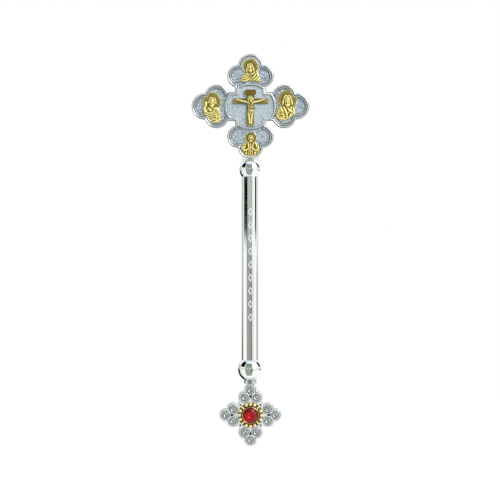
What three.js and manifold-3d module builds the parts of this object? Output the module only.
// Hand blessing cross: a cast cross head with gilt relief figures, a tubular handle held between two
// ball knops by a tie rod, and a small jewelled cross as the end finial.
// Millimetres. +Z runs up the handle to the head, the face with the crucifix looks along -Y, and the
// origin is the middle of the grip. The flat castings are drawn as seen from the front: x to the
// right, y up and z towards the viewer.
import * as THREE from "three";
import { mergeVertices } from "three/addons/utils/BufferGeometryUtils.js";
import Module from "manifold-3d";

const wasm = await Module();
wasm.setup();

// Driving dimensions of the handle, from the head end to the finial end
const TUBE = { radius: 5.5, bore: 4.6, sides: 40 };
const UPPER_BALL = { z: 60.9, radius: 6.95 };
const LOWER_BALL = { z: -63.75, radius: 7.8 };
const ROD = { radius: 2, top: 61.6, bottom: -66.6, chamfer: 0.4 };
const COLLAR = { radius: 3.95, bottom: -72.8, chamfer: 0.3 };
const FIT = 0.1; // room round a piece that enters another
const SEAM = 0.05; // thickness of a soldered seam between two castings
const BALL_SEAT = 0.12; // room between a ball and what is cupped to it

// Driving dimensions of the cross head, about the centre of its crossing
const HEAD_Z = 100.3;
const SIDE_ARM = { tip: 28.6, tipRadius: 8.1, flank: 21.1, spread: 6, flankRadius: 7.5 };
const UPRIGHT_ARM = { tip: 24.75, tipRadius: 7.9, flank: 18.9, spread: 7.6, flankRadius: 6.9 };
const CROTCH = { x: 9.6, y: 8.9 };
const HEAD_FILLET = 0.6;
const TANG = { halfWidth: 6.5, shoulder: 5.2, thickness: 3, end: 62.9 };
const FRONT_FIELD = 0.8;
const BACK_FIELD = -1.1;
const FIELD_INSET = 2.6;
const PEG = { radius: 0.55, bottom: -0.3, sides: 6 };
const LOBE_STEP = THREE.MathUtils.degToRad(27);

// The rim moulding as [inset from the edge, height]: a flat land behind, a roll and a bead in front
const HEAD_RIM = [
  [2.4, BACK_FIELD],
  [1.9, -2],
  [0.6, -2],
  [0, -1.3],
  [0, 1.2],
  [0.7, 2],
  [1.5, 1.4],
  [2, 1.6],
  [FIELD_INSET, FRONT_FIELD],
];

// The raised arch that frames the upper icon, and the seat that the lower icon cuts in the rim
const ICON_ARCH = { y: 24.75, inner: 4.95, outer: 5.6, top: 1.5, foot: 21.95 };
const LOWER_SEAT = { y: -24.75, radius: 6.75, top: -25.2 };

// The centre panel: a cross whose four ends are arcs, with a raised rim of its own
const PANEL = { armX: 8.8, armY: 8.1, endX: 13.1, endY: 11.6, bulgeX: 15.8, bulgeY: 14.2, steps: 8 };
const PANEL_BACK = FRONT_FIELD + SEAM;
const PANEL_FIELD = 1.3;
const PANEL_RIM = [
  [0, PANEL_BACK],
  [0, 1.9],
  [0.5, 2.3],
  [0.9, 2.2],
  [1.3, PANEL_FIELD],
];

// The crucifix on the panel
const CRUCIFIX = {
  beamY: 3.2,
  beamHalf: 11.1,
  beamWidth: 3.3,
  uprightWidth: 4.5,
  top: 10,
  foot: -12.1,
  bevel: 0.25,
};
const CRUCIFIX_BACK = PANEL_FIELD + SEAM;
const CRUCIFIX_FRONT = 2.2;
const FIGURE_BACK = CRUCIFIX_FRONT + SEAM;
const TITULUS = { y: 8.7, halfWidth: 3.4, halfHeight: 1.55, thickness: 0.5, frame: 0.35, sunk: 0.15 };

// The jewelled finial, about its centre
const FINIAL_Z = -92.4;
const STONE = { tip: 15.4, flank: 10.9, spread: 3.6 };
const CRYSTAL = { radius: 2.35, girdle: 1.45, edge: 0.15, table: 2.35, tableRadius: 1.5, sides: 8 };
const FINIAL_LOBE = 4.15;
const EYELET = { reach: 6.36, radius: 1.7, hole: 0.6 };
const FINIAL_FILLET = 0.3;
const FINIAL_TOP = 1.6;
const TRAY = { floor: 0.6, radius: 3.3, middle: 12.2, middleRadius: 1.6 };
const CUP = { outer: 2.95, bore: 2.5, floor: -0.5, top: 1.9 };
const FINIAL_TAB = { halfWidth: 2.5, thickness: 2.4, end: -68.4 };
const FINIAL_EDGE = [
  [0.5, -1.7],
  [0, -1.2],
  [0, 1],
  [0.6, FINIAL_TOP],
];

// The centre setting: a gilt rosette with beads and claws, a stone cup and the red stone
const ROSETTE = { outer: 8, inner: 5.4, back: FINIAL_TOP + SEAM, top: 2.35, chamfer: 0.2 };
const BEADS = { circle: 6.8, radius: 1.05, z: 2.75, places: 16, betweenClaws: 4 };
const CLAW = { from: 5.95, to: 7.5, high: 3.1, low: 2.4, radius: 0.5 };
const STONE_CUP = { outer: 5.3, spigot: 4, floor: 0.15, hollow: 4.75, top: 3.7 };
const RED_STONE = {
  radius: 4.6,
  tip: 1.2,
  girdle: 2.95,
  edge: 0.2,
  table: 4.5,
  tableRadius: 2.6,
  sides: 16,
};

const FINISH = {
  silver: new THREE.MeshStandardMaterial({ color: 0xc9ced4, roughness: 0.3, metalness: 1 }),
  polished: new THREE.MeshStandardMaterial({ color: 0xdfe3e6, roughness: 0.06, metalness: 1 }),
  gilt: new THREE.MeshStandardMaterial({ color: 0xe6c35a, roughness: 0.22, metalness: 1 }),
  steel: new THREE.MeshStandardMaterial({ color: 0x9a9da0, roughness: 0.45, metalness: 1 }),
  crystal: new THREE.MeshStandardMaterial({ color: 0xeef3f6, roughness: 0.03, metalness: 0.1 }),
  ruby: new THREE.MeshStandardMaterial({ color: 0xc4101c, roughness: 0.04, metalness: 0.1 }),
};

// Solids

function solidOf(geometry) {
  const bare = geometry.clone();
  bare.deleteAttribute("normal");
  bare.deleteAttribute("uv");
  const merged = mergeVertices(bare, 1e-4);
  return new wasm.Manifold(
    new wasm.Mesh({
      numProp: 3,
      vertProperties: new Float32Array(merged.attributes.position.array),
      triVerts: new Uint32Array(merged.index.array),
    }),
  );
}

function geometryOf(solid) {
  const mesh = solid.getMesh();
  const stride = mesh.numProp;
  const positions = new Float32Array(mesh.numVert * 3);
  for (let i = 0; i < mesh.numVert; i++) {
    positions.set(mesh.vertProperties.subarray(i * stride, i * stride + 3), i * 3);
  }
  const geometry = new THREE.BufferGeometry();
  geometry.setAttribute("position", new THREE.BufferAttribute(positions, 3));
  geometry.setIndex(new THREE.BufferAttribute(new Uint32Array(mesh.triVerts), 1));
  return geometry;
}

function joined(solids) {
  return solids.reduce((whole, piece) => whole.add(piece));
}

function without(solid, cutters) {
  return cutters.reduce((rest, cutter) => rest.subtract(cutter), solid);
}

function named(name, solid, finish) {
  const flat = geometryOf(solid).toNonIndexed();
  flat.computeVertexNormals();
  const mesh = new THREE.Mesh(flat, finish);
  mesh.name = name;
  return mesh;
}

// Basic solids

function box(x0, x1, y0, y1, z0, z1) {
  const geometry = new THREE.BoxGeometry(x1 - x0, y1 - y0, z1 - z0);
  return solidOf(geometry.translate((x0 + x1) / 2, (y0 + y1) / 2, (z0 + z1) / 2));
}

// Everything behind a height, to cut a casting flat on its back
function allBehind(z) {
  return box(-99, 99, -99, 99, z - 9, z);
}

function disc(x, y, radius, z0, z1, sides = 24) {
  const geometry = new THREE.CylinderGeometry(radius, radius, z1 - z0, sides);
  return solidOf(geometry.rotateX(Math.PI / 2).translate(x, y, (z0 + z1) / 2));
}

// A turned piece: the profile lists [radius, height], from the axis round to the axis, or a closed ring
function turned(profile, sides, x = 0, y = 0) {
  const points = profile.map(([r, z]) => new THREE.Vector2(r, z));
  return solidOf(new THREE.LatheGeometry(points, sides).rotateX(Math.PI / 2).translate(x, y, 0));
}

function ellipsoid([x, y, z], [rx, ry, rz], turn = 0, sides = 8, rings = 6) {
  const geometry = new THREE.SphereGeometry(1, sides, rings);
  geometry.scale(rx, ry, rz).rotateZ(turn).translate(x, y, z);
  return solidOf(geometry);
}

// A round limb through several points, with a radius at each and domed ends: [[x, y, z, radius], ...]
function limb(points, sides = 6) {
  const centres = points.map(([x, y, z]) => new THREE.Vector3(x, y, z));
  const last = points.length - 1;
  const positions = [];
  const faces = [];
  const front = new THREE.Vector3(0, 0, 1);
  centres.forEach((centre, i) => {
    const along = centres[Math.min(i + 1, last)].clone().sub(centres[Math.max(i - 1, 0)]).normalize();
    const across = along.clone().cross(front).normalize();
    const up = along.clone().cross(across);
    const radius = points[i][3];
    for (let k = 0; k < sides; k++) {
      const angle = (2 * Math.PI * k) / sides;
      const spoke = across.clone().multiplyScalar(Math.cos(angle)).addScaledVector(up, Math.sin(angle));
      positions.push(...centre.clone().addScaledVector(spoke, radius).toArray());
      const a = i * sides + k;
      const b = i * sides + ((k + 1) % sides);
      if (i < last) {
        faces.push(a, b, b + sides, a, b + sides, a + sides);
      }
    }
  });
  for (const [end, inner] of [
    [0, 1],
    [last, last - 1],
  ]) {
    const outward = centres[end].clone().sub(centres[inner]).normalize();
    positions.push(...centres[end].clone().addScaledVector(outward, points[end][3] * 0.8).toArray());
    const tip = positions.length / 3 - 1;
    for (let k = 0; k < sides; k++) {
      const a = end * sides + k;
      const b = end * sides + ((k + 1) % sides);
      faces.push(tip, ...(end === 0 ? [b, a] : [a, b]));
    }
  }
  const geometry = new THREE.BufferGeometry();
  geometry.setAttribute("position", new THREE.Float32BufferAttribute(positions, 3));
  geometry.setIndex(faces);
  return solidOf(geometry);
}

// A shape from the points of its right half, low to high, and their mirror images
function mirroredShape(rightHalf) {
  const leftHalf = rightHalf.map(([x, y]) => [-x, y]).reverse();
  return new THREE.Shape([...rightHalf, ...leftHalf].map(([x, y]) => new THREE.Vector2(x, y)));
}

// A flat casting from a shape, with bevelled front edges inside the outline
function bevelledSlab(shape, z0, z1, bevel) {
  const geometry = new THREE.ExtrudeGeometry(shape, {
    depth: z1 - z0 - bevel,
    bevelThickness: bevel,
    bevelSize: bevel,
    bevelOffset: -bevel,
    bevelSegments: 1,
  });
  return without(solidOf(geometry.translate(0, 0, z0)), [allBehind(z0)]);
}

// A flat casting with a smooth outline through a few points
function softSlab(outline, z0, z1, bevel, points = 24) {
  const stations = outline.map(([x, y]) => new THREE.Vector3(x, y, 0));
  const curve = new THREE.CatmullRomCurve3(stations, true, "centripetal");
  const shape = new THREE.Shape(curve.getPoints(points).map((p) => new THREE.Vector2(p.x, p.y)));
  return bevelledSlab(shape, z0, z1, bevel);
}

// Outlines: convex arcs and straight runs that meet in concave corners, counter-clockwise. Each side
// is { corner, arc } and runs from its corner to the next one; without an arc it is straight.

function circlesMeet(a, b) {
  const dx = b.x - a.x;
  const dy = b.y - a.y;
  const apart = Math.hypot(dx, dy);
  const along = (apart * apart + a.r * a.r - b.r * b.r) / (2 * apart);
  const across = Math.sqrt(a.r * a.r - along * along);
  return [a.x + (dx * along + dy * across) / apart, a.y + (dy * along - dx * across) / apart];
}

// The loop that runs at a depth inside the outline: arcs shrink, straight runs move in, and each
// concave corner becomes an arc of that radius.
function insetLoop(outline, depth, step) {
  const loop = [];
  const inward = (side, next) => {
    if (!side.arc) {
      const angle = Math.atan2(next.corner[1] - side.corner[1], next.corner[0] - side.corner[0]);
      return [angle + Math.PI / 2, angle + Math.PI / 2];
    }
    return [side.corner, next.corner].map(([x, y]) => Math.atan2(side.arc.y - y, side.arc.x - x));
  };
  outline.forEach((side, i) => {
    const next = outline[(i + 1) % outline.length];
    const after = outline[(i + 2) % outline.length];
    const [start, end] = inward(side, next);
    if (side.arc) {
      const turn = (end - start + 4 * Math.PI) % (2 * Math.PI);
      const steps = Math.max(2, Math.round(turn / step));
      for (let k = 0; k <= steps; k++) {
        const angle = start + (turn * k) / steps + Math.PI;
        const radius = side.arc.r - depth;
        loop.push([side.arc.x + radius * Math.cos(angle), side.arc.y + radius * Math.sin(angle)]);
      }
    } else {
      for (const [x, y] of [side.corner, next.corner]) {
        loop.push([x + depth * Math.cos(start), y + depth * Math.sin(start)]);
      }
    }
    const [leaving] = inward(next, after);
    const turnBack = (end - leaving + 4 * Math.PI) % (2 * Math.PI);
    const middle = end - turnBack / 2;
    loop.push([next.corner[0] + depth * Math.cos(middle), next.corner[1] + depth * Math.sin(middle)]);
  });
  return loop;
}

// A solid whose edge is a moulding: the profile lists [inset, height] from the back round to the front
function mouldedPlate(loopAt, profile) {
  const loops = profile.map(([inset]) => loopAt(inset));
  const count = loops[0].length;
  const positions = loops.flatMap((loop, row) => loop.flatMap(([x, y]) => [x, y, profile[row][1]]));
  const faces = [];
  for (let row = 0; row + 1 < loops.length; row++) {
    for (let i = 0; i < count; i++) {
      const a = row * count + i;
      const b = row * count + ((i + 1) % count);
      faces.push(a, b, b + count, a, b + count, a + count);
    }
  }
  const cap = (row, flip) => {
    const contour = loops[row].map(([x, y]) => new THREE.Vector2(x, y));
    for (const [a, b, c] of THREE.ShapeUtils.triangulateShape(contour, [])) {
      faces.push(...(flip ? [c, b, a] : [a, b, c]).map((i) => row * count + i));
    }
  };
  cap(0, true);
  cap(loops.length - 1, false);
  const geometry = new THREE.BufferGeometry();
  geometry.setAttribute("position", new THREE.Float32BufferAttribute(positions, 3));
  geometry.setIndex(faces);
  return solidOf(geometry);
}

function prism(loopAt, inset, z0, z1) {
  return mouldedPlate(loopAt, [
    [inset, z0],
    [inset, z1],
  ]);
}

// The cross head

function headOutline() {
  const crotchX = CROTCH.x + HEAD_FILLET;
  const crotchY = CROTCH.y + HEAD_FILLET;
  const arc = (x, y, radius) => ({ x, y, r: radius + HEAD_FILLET });
  const runOf = (arm, gap) => arm.flank - Math.sqrt((arm.flankRadius + HEAD_FILLET) ** 2 - gap ** 2);
  const sideRun = runOf(SIDE_ARM, crotchY - SIDE_ARM.spread);
  const uprightRun = runOf(UPRIGHT_ARM, crotchX - UPRIGHT_ARM.spread);
  const outline = [];
  for (const s of [1, -1]) {
    const side = [
      arc(s * SIDE_ARM.flank, -s * SIDE_ARM.spread, SIDE_ARM.flankRadius),
      arc(s * SIDE_ARM.tip, 0, SIDE_ARM.tipRadius),
      arc(s * SIDE_ARM.flank, s * SIDE_ARM.spread, SIDE_ARM.flankRadius),
    ];
    const upright = [
      arc(s * UPRIGHT_ARM.spread, s * UPRIGHT_ARM.flank, UPRIGHT_ARM.flankRadius),
      arc(0, s * UPRIGHT_ARM.tip, UPRIGHT_ARM.tipRadius),
      arc(-s * UPRIGHT_ARM.spread, s * UPRIGHT_ARM.flank, UPRIGHT_ARM.flankRadius),
    ];
    outline.push(
      { corner: [s * sideRun, -s * crotchY], arc: side[0] },
      { corner: circlesMeet(side[0], side[1]), arc: side[1] },
      { corner: circlesMeet(side[1], side[2]), arc: side[2] },
      { corner: [s * sideRun, s * crotchY] },
      { corner: [s * crotchX, s * crotchY] },
      { corner: [s * crotchX, s * uprightRun], arc: upright[0] },
      { corner: circlesMeet(upright[0], upright[1]), arc: upright[1] },
      { corner: circlesMeet(upright[1], upright[2]), arc: upright[2] },
      { corner: [-s * crotchX, s * uprightRun] },
      { corner: [-s * crotchX, s * crotchY] },
    );
  }
  return outline;
}

function headLoop(inset) {
  return insetLoop(headOutline(), inset + HEAD_FILLET, LOBE_STEP);
}

// The panel's outline moves in by the inset: straight flanks, and an arc at each end
function panelLoop(inset) {
  const x = PANEL.armX - inset;
  const y = PANEL.armY - inset;
  const endArc = (end, half, bulge) => {
    const rise = bulge - end;
    const radius = (half * half + rise * rise) / (2 * rise);
    return { centre: bulge - radius, radius: radius - inset };
  };
  const side = endArc(PANEL.endX, PANEL.armY, PANEL.bulgeX);
  const cap = endArc(PANEL.endY, PANEL.armX, PANEL.bulgeY);
  const sideAngle = Math.asin(y / side.radius);
  const capAngle = Math.asin(x / cap.radius);
  const loop = [];
  for (const s of [1, -1]) {
    for (let k = 0; k <= PANEL.steps; k++) {
      const a = -sideAngle + (2 * sideAngle * k) / PANEL.steps;
      loop.push([s * (side.centre + side.radius * Math.cos(a)), s * side.radius * Math.sin(a)]);
    }
    loop.push([s * x, s * y]);
    for (let k = 0; k <= PANEL.steps; k++) {
      const a = Math.PI / 2 - capAngle + (2 * capAngle * k) / PANEL.steps;
      loop.push([s * cap.radius * Math.cos(a), s * (cap.centre + cap.radius * Math.sin(a))]);
    }
    loop.push([-s * x, s * y]);
  }
  return loop;
}

// Where the locating pegs of each casting stand
const PEGS = {
  centre_panel: [
    [-12, -1.5],
    [12, -1.5],
  ],
  crucifix_cross: [
    [0, 6],
    [0, -9],
  ],
  icon_top: [
    [-3, 18],
    [3, 18],
  ],
  icon_bottom: [
    [-2.5, -26.5],
    [2.5, -26.5],
  ],
  icon_left: [
    [-24.5, -4],
    [-24.4, 3],
  ],
  icon_right: [
    [22, -4],
    [23, 4.4],
  ],
};

function pegs(name, top) {
  return PEGS[name].map(([x, y]) => disc(x, y, PEG.radius, PEG.bottom, top, PEG.sides));
}

function pegHoles(names) {
  const places = names.flatMap((name) => PEGS[name]);
  const radius = PEG.radius + FIT;
  return places.map(([x, y]) => disc(x, y, radius, PEG.bottom - FIT, PANEL_FIELD + 1, PEG.sides));
}

// The lower icon runs out over the rim of its lobe, so it has a seat there
function lowerSeat(clearance, z0, z1) {
  const { y, radius, top } = LOWER_SEAT;
  const below = box(-radius, radius, y - radius - 1, top, z0, z1);
  return disc(0, y, radius - clearance, z0, z1, 28).intersect(below);
}

function iconArch() {
  const { y, inner, outer, top, foot } = ICON_ARCH;
  const below = box(-outer, outer, y - outer - 1, foot, -1, top + 1);
  return without(disc(0, y, outer, 0, top, 28), [disc(0, y, inner, -1, top + 1, 28), below]);
}

function headTang() {
  const half = TANG.thickness / 2;
  const lobeEnd = -UPRIGHT_ARM.tip - UPRIGHT_ARM.tipRadius + 2;
  const sides = [
    [TANG.halfWidth, TANG.end - HEAD_Z],
    [TANG.halfWidth, UPPER_BALL.z + 2.6 - HEAD_Z],
    [TANG.shoulder, lobeEnd],
  ];
  const blade = new THREE.ExtrudeGeometry(mirroredShape(sides), {
    depth: TANG.thickness,
    bevelEnabled: false,
  });
  const insideLobe = disc(0, -UPRIGHT_ARM.tip, UPRIGHT_ARM.tipRadius - 1.5, -half - 1, half + 1, 24);
  return without(solidOf(blade.translate(0, 0, -half)), [insideLobe]);
}

function headPlate() {
  const plate = mouldedPlate(headLoop, HEAD_RIM);
  const panelSeat = prism(panelLoop, -SEAM, FRONT_FIELD, FRONT_FIELD + 3);
  const seats = [panelSeat, lowerSeat(0, FRONT_FIELD, FRONT_FIELD + 3), ...pegHoles(Object.keys(PEGS))];
  return without(joined([plate, headTang(), iconArch()]), seats);
}

function centrePanel() {
  const panel = mouldedPlate(panelLoop, PANEL_RIM);
  const onPegs = joined([panel, ...pegs("centre_panel", PANEL_FIELD - SEAM)]);
  return without(onPegs, pegHoles(["crucifix_cross"]));
}

// The crucifix

function crucifixCross() {
  const { beamY, beamHalf, beamWidth, uprightWidth, top, foot, bevel } = CRUCIFIX;
  const low = beamY - beamWidth / 2;
  const high = beamY + beamWidth / 2;
  const half = uprightWidth / 2;
  const sides = [
    [half, foot],
    [half, low],
    [beamHalf, low],
    [beamHalf, high],
    [half, high],
    [half, top],
  ];
  const bars = bevelledSlab(mirroredShape(sides), CRUCIFIX_BACK, CRUCIFIX_FRONT, bevel);
  return joined([bars, ...pegs("crucifix_cross", CRUCIFIX_FRONT - 0.5)]);
}

// The plaque at the head of the crucifix: plain, with a raised frame
function titulus() {
  const { y, halfWidth, halfHeight, thickness, frame, sunk } = TITULUS;
  const front = FIGURE_BACK + thickness;
  const plate = box(-halfWidth, halfWidth, y - halfHeight, y + halfHeight, FIGURE_BACK, front);
  const w = halfWidth - frame;
  const h = halfHeight - frame;
  return without(plate, [box(-w, w, y - h, y + h, front - sunk, front + 1)]);
}

// The figure on the crucifix: bowed head, level arms, a knotted cloth and straight legs
function corpus() {
  const z = FIGURE_BACK + 0.45;
  const arm = (s) => [
    [s * 1.3, 2.3, z, 0.75],
    [s * 4.6, 3, z - 0.05, 0.62],
    [s * 7.6, 4, z - 0.1, 0.42],
    [s * 8.7, 4.3, z - 0.15, 0.4],
  ];
  const leg = (s) => [
    [s * 0.75, -3.6, z + 0.2, 0.95],
    [s * 0.95, -6.6, z + 0.45, 0.75],
    [s * 0.55, -9.6, z + 0.1, 0.5],
    [s * 0.6, -10.7, z + 0.3, 0.5],
  ];
  const neck = [
    [0, 3, z, 0.6],
    [0, 1.6, z + 0.1, 0.9],
  ];
  const clothRoll = [
    [-1.3, -2.6, z + 0.6, 0.4],
    [1.6, -3.2, z + 0.6, 0.45],
  ];
  const clothEnd = [
    [1.7, -3, z + 0.2, 0.45],
    [2.1, -5, z, 0.35],
  ];
  const pieces = [
    ellipsoid([-0.2, 4.5, z + 0.75], [1.25, 1.6, 1.2], 0.25, 8, 6),
    ellipsoid([0, 5, z + 0.35], [1.7, 1.6, 0.95], 0.25, 8, 6),
    ellipsoid([-0.45, 3.4, z + 0.8], [0.75, 0.9, 0.75]),
    limb(neck),
    ellipsoid([0, 1.2, z], [2.05, 1.7, 0.95], 0, 8, 5),
    ellipsoid([0, -0.9, z + 0.05], [1.55, 1.8, 0.85], 0, 8, 5),
    ellipsoid([0, -3.1, z + 0.1], [1.95, 1.25, 1.05], 0.12, 8, 5),
    limb(clothRoll),
    limb(clothEnd),
    limb(arm(1)),
    limb(arm(-1)),
    limb(leg(1)),
    limb(leg(-1)),
  ];
  return without(joined(pieces), [allBehind(FIGURE_BACK)]);
}

// The four busts. Each has a halo with a raised edge, a head with hair, and a draped body. The heads
// share one set of proportions; hair, beard, dress and what is held differ.

const ICON_BACK = FRONT_FIELD + SEAM;
const ICON_BODY = 2.1;

function halo([x, y], radius) {
  const profile = [
    [0, ICON_BACK],
    [radius, ICON_BACK],
    [radius, 1.3],
    [radius - 0.25, 1.5],
    [radius - 0.6, 1.3],
    [0, 1.35],
  ];
  return turned(profile, 20, x, y);
}

function face([x, y], size, turn) {
  const z = 1.55;
  const noseLine = (dy, dz, radius) => [
    x - dy * size * Math.sin(turn),
    y + dy * size * Math.cos(turn),
    z + dz * size,
    radius * size,
  ];
  return joined([
    ellipsoid([x, y, z], [0.86 * size, 1.15 * size, 1.2 * size], turn, 9, 6),
    limb([noseLine(0.15, 1.1, 0.12), noseLine(-0.3, 1.25, 0.2)], 4),
  ]);
}

function hairCap([x, y], size, turn) {
  return ellipsoid([x, y + 0.25 * size, 1.3], [1.12 * size, 1.2 * size, 1.05 * size], turn, 9, 5);
}

function ridges(lines, z, radius) {
  return lines.map(([x0, y0, x1, y1]) =>
    limb([
      [x0, y0, z, radius],
      [x1, y1, z, radius * 0.75],
    ]),
  );
}

function icon(name, pieces) {
  const field = prism(headLoop, FIELD_INSET + SEAM, 0, 9);
  const room = name === "icon_bottom" ? field.add(lowerSeat(FIT, 0, 9)) : field;
  const shaped = without(joined(pieces), [allBehind(ICON_BACK)]).intersect(room);
  return joined([shaped, ...pegs(name, ICON_BACK + 0.3)]);
}

function iconTop() {
  const head = [-0.2, 24.2];
  const body = [
    [-2.2, 21.2],
    [-5.6, 18.4],
    [-6.3, 15.6],
    [0, 16],
    [6, 15.3],
    [5.4, 19],
    [2.4, 21.4],
  ];
  const locks = [
    [-1.9, 24.2, -2.2, 21.8],
    [1.8, 24.4, 2, 21.8],
  ];
  const folds = [
    [-4.8, 18, -1, 20.4],
    [-5, 16.6, 0.6, 18.6],
    [1, 20.6, 3.4, 16.8],
    [3, 20.2, 5, 17],
  ];
  const raisedHand = [
    [4.2, 18.4, 1.9, 0.7],
    [4.2, 20.2, 2, 0.5],
    [3.8, 21.5, 1.9, 0.4],
  ];
  return icon("icon_top", [
    halo([0, 24.8], 4.75),
    hairCap(head, 2, 0.12),
    face(head, 1.7, 0.12),
    softSlab(body, ICON_BACK, ICON_BODY, 0.5),
    ...ridges(locks, 1.5, 0.55),
    ...ridges(folds, 2, 0.4),
    limb(raisedHand),
  ]);
}

function iconLeft() {
  const head = [-24, 2.6];
  const body = [
    [-26, -0.4],
    [-29.6, -2.6],
    [-28.6, -5.6],
    [-26.4, -6.6],
    [-25.2, -9.4],
    [-21, -10.4],
    [-18.4, -8],
    [-18.9, -2.6],
    [-21.8, -0.2],
  ];
  const folds = [
    [-27.6, -2.4, -24.2, -4.6],
    [-24.2, -4.6, -20.6, -1.8],
    [-20.2, -3, -23, -8.6],
    [-19.6, -4.8, -21, -9.2],
  ];
  const raisedHand = [
    [-28.4, -2.4, 1.7, 0.8],
    [-28.2, 0.2, 1.9, 0.6],
    [-27.6, 2.2, 2, 0.75],
  ];
  return icon("icon_left", [
    halo([-24.2, 3], 5.75),
    hairCap(head, 2.2, -0.08),
    face(head, 1.9, -0.08),
    ellipsoid([-24.1, 0.9, 1.9], [1.2, 1.6, 1]),
    softSlab(body, ICON_BACK, ICON_BODY, 0.55, 28),
    ...ridges(folds, 2.05, 0.45),
    limb(raisedHand),
    box(-23.8, -20.6, -8.8, -5, 1, 2.5),
  ]);
}

function iconRight() {
  const head = [23.1, 3.6];
  const body = [
    [20.6, 0.4],
    [17, -1.2],
    [15.8, -4.6],
    [17, -8],
    [21, -9.4],
    [25, -7.4],
    [27.6, -3.4],
    [28, -0.8],
    [25.4, 0.4],
  ];
  const locks = [
    [20.6, 4, 20.3, 0.8],
    [25.6, 4, 25.9, 0.8],
  ];
  const folds = [
    [21.2, -1, 18.4, -6.8],
    [25.4, -0.6, 22.6, -5],
    [22.6, -5, 22.4, -8.2],
    [26.6, -1.6, 24, -6.8],
    [17.4, -6.8, 22, -4],
  ];
  return icon("icon_right", [
    halo([23, 4.4], 6.2),
    hairCap(head, 2.7, 0),
    face(head, 2.1, 0),
    ellipsoid([23.1, 0.9, 2], [1.35, 2, 1.1]),
    softSlab(body, ICON_BACK, ICON_BODY, 0.55, 28),
    ...ridges(locks, 1.5, 0.85),
    ...ridges(folds, 2.05, 0.45),
    box(17.4, 20.2, -6.6, -2.6, 1, 2.5),
  ]);
}

function iconBottom() {
  const head = [0.2, -19.7];
  const body = [
    [-1.5, -21.8],
    [-4.4, -23.6],
    [-6.2, -27.6],
    [-4.6, -31],
    [0, -33],
    [4.6, -31],
    [6.2, -27.6],
    [4.8, -23.6],
    [1.9, -21.8],
  ];
  const folds = [
    [-1.4, -22.6, 0, -30.6],
    [1.8, -22.6, 0.8, -30.6],
    [-3.6, -24.4, -4.6, -29.4],
    [3.8, -24.4, 4.4, -29.4],
  ];
  const arm = (s) => [
    [s * 4.3, -25.4, 1.9, 0.7],
    [s * 2.7, -28.3, 2.1, 0.6],
    [s * 0.7, -26.8, 2.2, 0.5],
  ];
  return icon("icon_bottom", [
    halo([0.3, -19.6], 3.5),
    hairCap(head, 1.6, -0.1),
    face(head, 1.35, -0.1),
    ellipsoid([0, -21, 1.8], [0.85, 1.3, 0.9]),
    softSlab(body, ICON_BACK, 2, 0.5),
    ...ridges(folds, 1.95, 0.4),
    limb(arm(1)),
    limb(arm(-1)),
  ]);
}

// The handle: two turned balls, a tube cupped to them and the rod that draws them together

function turnedBall({ z, radius }) {
  const rings = 12;
  const profile = [[0, z - radius]];
  for (let i = 1; i < rings; i++) {
    const angle = (Math.PI * i) / rings - Math.PI / 2;
    profile.push([radius * Math.cos(angle), z + radius * Math.sin(angle)]);
  }
  profile.push([0, z + radius]);
  return turned(profile, 24);
}

// The height at which a face cupped to a ball lies, at a radius; side is 1 above the ball, -1 below
function ballSeat(ball, radius, side) {
  return ball.z + side * Math.sqrt((ball.radius + BALL_SEAT) ** 2 - radius ** 2);
}

function upperBall() {
  const { z, radius } = UPPER_BALL;
  const threadedBore = disc(0, 0, ROD.radius + FIT, z - radius - 1, ROD.top + FIT, 16);
  const halfSlot = TANG.thickness / 2 + FIT;
  const fork = box(-radius - 1, radius + 1, -halfSlot, halfSlot, TANG.end - FIT, z + radius + 1);
  return without(turnedBall(UPPER_BALL), [threadedBore, fork]);
}

function lowerBall() {
  const { z, radius } = LOWER_BALL;
  const threadedBore = disc(0, 0, ROD.radius + FIT, ROD.bottom - FIT, z + radius + 1, 16);
  return without(turnedBall(LOWER_BALL), [threadedBore, tabSlot(z - radius - 1, FINIAL_TAB.end + FIT)]);
}

function tabSlot(z0, z1) {
  const halfWidth = FINIAL_TAB.halfWidth + FIT;
  const halfSlot = FINIAL_TAB.thickness / 2 + FIT;
  return box(-halfWidth, halfWidth, -halfSlot, halfSlot, z0, z1);
}

function handleTube() {
  const { radius, bore, sides } = TUBE;
  const profile = [
    [bore, ballSeat(LOWER_BALL, bore, 1)],
    [radius, ballSeat(LOWER_BALL, radius, 1)],
    [radius, ballSeat(UPPER_BALL, radius, -1)],
    [bore, ballSeat(UPPER_BALL, bore, -1)],
    [bore, ballSeat(LOWER_BALL, bore, 1)],
  ];
  return turned(profile, sides);
}

function tieRod() {
  const { radius, top, bottom, chamfer } = ROD;
  const profile = [
    [0, bottom],
    [radius - chamfer, bottom],
    [radius, bottom + chamfer],
    [radius, top - chamfer],
    [radius - chamfer, top],
    [0, top],
  ];
  return turned(profile, 12);
}

function neckCollar() {
  const { radius, bottom, chamfer } = COLLAR;
  const profile = [
    [0, bottom],
    [radius - chamfer, bottom],
    [radius, bottom + chamfer],
    [radius, ballSeat(LOWER_BALL, radius, -1)],
    [radius * 0.66, ballSeat(LOWER_BALL, radius * 0.66, -1)],
    [0, ballSeat(LOWER_BALL, 0, -1)],
  ];
  return without(turned(profile, 20), [tabSlot(bottom - 1, LOWER_BALL.z)]);
}

// The finial

function quarterTurn([x, y], quarters) {
  const c = [1, 0, -1, 0][quarters];
  const s = [0, 1, 0, -1][quarters];
  return [x * c - y * s, x * s + y * c];
}

const ARM_STONES = [
  [STONE.flank, -STONE.spread],
  [STONE.tip, 0],
  [STONE.flank, STONE.spread],
];

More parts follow.
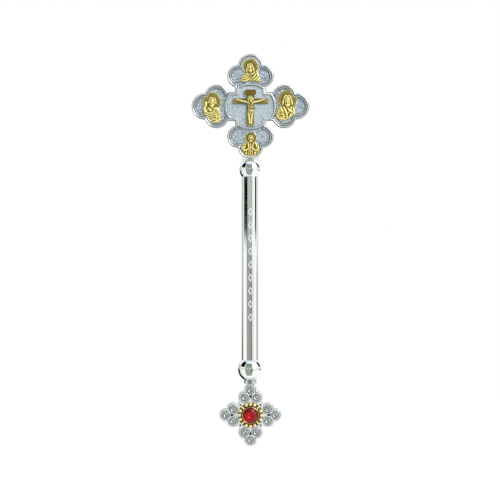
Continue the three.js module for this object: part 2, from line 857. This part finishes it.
function finialOutline() {
  const arcs = [];
  for (let quarters = 0; quarters < 4; quarters++) {
    for (const place of ARM_STONES) {
      const [x, y] = quarterTurn(place, quarters);
      arcs.push({ x, y, r: FINIAL_LOBE + FINIAL_FILLET });
    }
    const [x, y] = quarterTurn([EYELET.reach, EYELET.reach], quarters);
    arcs.push({ x, y, r: EYELET.radius + FINIAL_FILLET });
  }
  return arcs.map((arc, i) => ({ corner: circlesMeet(arcs.at(i - 1), arc), arc }));
}

function finialLoop(inset) {
  return insetLoop(finialOutline(), inset + FINIAL_FILLET, 1.5 * LOBE_STEP);
}

// Each arm is a sunk tray with three cups, each cup a ring wall round its stone
function finialPlate() {
  const stones = [];
  const cutters = [];
  const eyelets = [];
  for (let quarters = 0; quarters < 4; quarters++) {
    stones.push(...ARM_STONES.map((place) => quarterTurn(place, quarters)));
    const [x, y] = quarterTurn([TRAY.middle, 0], quarters);
    cutters.push(disc(x, y, TRAY.middleRadius, TRAY.floor, FINIAL_TOP + 1, 8));
    const [ex, ey] = quarterTurn([EYELET.reach, EYELET.reach], quarters);
    eyelets.push(disc(ex, ey, EYELET.hole, -3, 3, 8));
  }
  cutters.push(...stones.map(([x, y]) => disc(x, y, TRAY.radius, TRAY.floor, FINIAL_TOP + 1, 12)));
  const trays = without(mouldedPlate(finialLoop, FINIAL_EDGE), cutters);
  const cups = stones.map(([x, y]) => disc(x, y, CUP.outer, 0, CUP.top, 12));
  const bores = stones.map(([x, y]) => disc(x, y, CUP.bore, CUP.floor, CUP.top + 1, 12));
  const half = FINIAL_TAB.thickness / 2;
  const tabEnd = FINIAL_TAB.end - FINIAL_Z;
  const tab = box(-FINIAL_TAB.halfWidth, FINIAL_TAB.halfWidth, STONE.tip + 3.4, tabEnd, -half, half);
  const spigotHole = disc(0, 0, STONE_CUP.spigot + FIT, STONE_CUP.floor - FIT, FINIAL_TOP + 1, 24);
  return without(joined([trays, ...cups, tab]), [...bores, ...eyelets, spigotHole]);
}

function crystals() {
  const { radius, girdle, edge, table, tableRadius, sides } = CRYSTAL;
  const profile = [
    [0, 0],
    [radius, girdle],
    [radius, girdle + edge],
    [tableRadius, table],
    [0, table],
  ];
  const arms = ["right", "top", "left", "bottom"];
  return arms.flatMap((arm, quarters) =>
    ARM_STONES.map((place, i) => {
      const [x, y] = quarterTurn(place, quarters);
      return named(`crystal_${arm}_${i + 1}`, turned(profile, sides, x, y), FINISH.crystal);
    }),
  );
}

function beadedRosette() {
  const { outer, inner, back, top, chamfer } = ROSETTE;
  const base = turned(
    [
      [inner, back],
      [outer, back],
      [outer, top - chamfer],
      [outer - chamfer, top],
      [inner, top],
      [inner, back],
    ],
    24,
  );
  const pieces = [base];
  for (let place = 0; place < BEADS.places; place++) {
    const angle = (2 * Math.PI * place) / BEADS.places;
    const at = (r, z) => [r * Math.cos(angle), r * Math.sin(angle), z];
    const onDiagonal = place % BEADS.betweenClaws === BEADS.betweenClaws / 2;
    const size = [BEADS.radius, BEADS.radius, BEADS.radius];
    const bead = () => ellipsoid(at(BEADS.circle, BEADS.z), size, 0, 6, 5);
    const claw = () =>
      limb([
        [...at(CLAW.from, CLAW.high), CLAW.radius],
        [...at(CLAW.to, CLAW.low), CLAW.radius],
      ]);
    pieces.push(onDiagonal ? claw() : bead());
  }
  return joined(pieces);
}

function stoneCup() {
  const { outer, spigot, floor, hollow, top } = STONE_CUP;
  const profile = [
    [0, floor],
    [spigot, floor],
    [spigot, ROSETTE.back],
    [outer, ROSETTE.back],
    [outer, top - 0.3],
    [outer - 0.25, top],
    [hollow, top - 0.15],
    [hollow, RED_STONE.girdle - 0.15],
    [0, RED_STONE.tip - 0.2],
  ];
  return turned(profile, 20);
}

function redStone() {
  const { radius, tip, girdle, edge, table, tableRadius, sides } = RED_STONE;
  const shoulder = radius * 0.86;
  const profile = [
    [0, tip],
    [radius, girdle],
    [radius, girdle + edge],
    [shoulder, girdle + edge + (table - girdle - edge) * 0.5],
    [tableRadius, table],
    [0, table],
  ];
  return turned(profile, sides);
}

// The assembly

const head = new THREE.Group();
head.position.z = HEAD_Z;
head.rotation.x = Math.PI / 2;
head.add(
  named("head_plate", headPlate(), FINISH.silver),
  named("centre_panel", centrePanel(), FINISH.silver),
  named("crucifix_cross", crucifixCross(), FINISH.gilt),
  named("titulus", titulus(), FINISH.gilt),
  named("corpus", corpus(), FINISH.gilt),
  named("icon_top", iconTop(), FINISH.gilt),
  named("icon_left", iconLeft(), FINISH.gilt),
  named("icon_right", iconRight(), FINISH.gilt),
  named("icon_bottom", iconBottom(), FINISH.gilt),
);

const handle = new THREE.Group();
handle.add(
  named("upper_ball", upperBall(), FINISH.polished),
  named("handle_tube", handleTube(), FINISH.polished),
  named("tie_rod", tieRod(), FINISH.steel),
  named("lower_ball", lowerBall(), FINISH.polished),
  named("neck_collar", neckCollar(), FINISH.polished),
);

const finial = new THREE.Group();
finial.position.z = FINIAL_Z;
finial.rotation.x = Math.PI / 2;
finial.add(
  named("finial_plate", finialPlate(), FINISH.silver),
  ...crystals(),
  named("beaded_rosette", beadedRosette(), FINISH.gilt),
  named("stone_cup", stoneCup(), FINISH.gilt),
  named("red_stone", redStone(), FINISH.ruby),
);

const blessingCross = new THREE.Group();
blessingCross.add(head, handle, finial);
export default blessingCross;
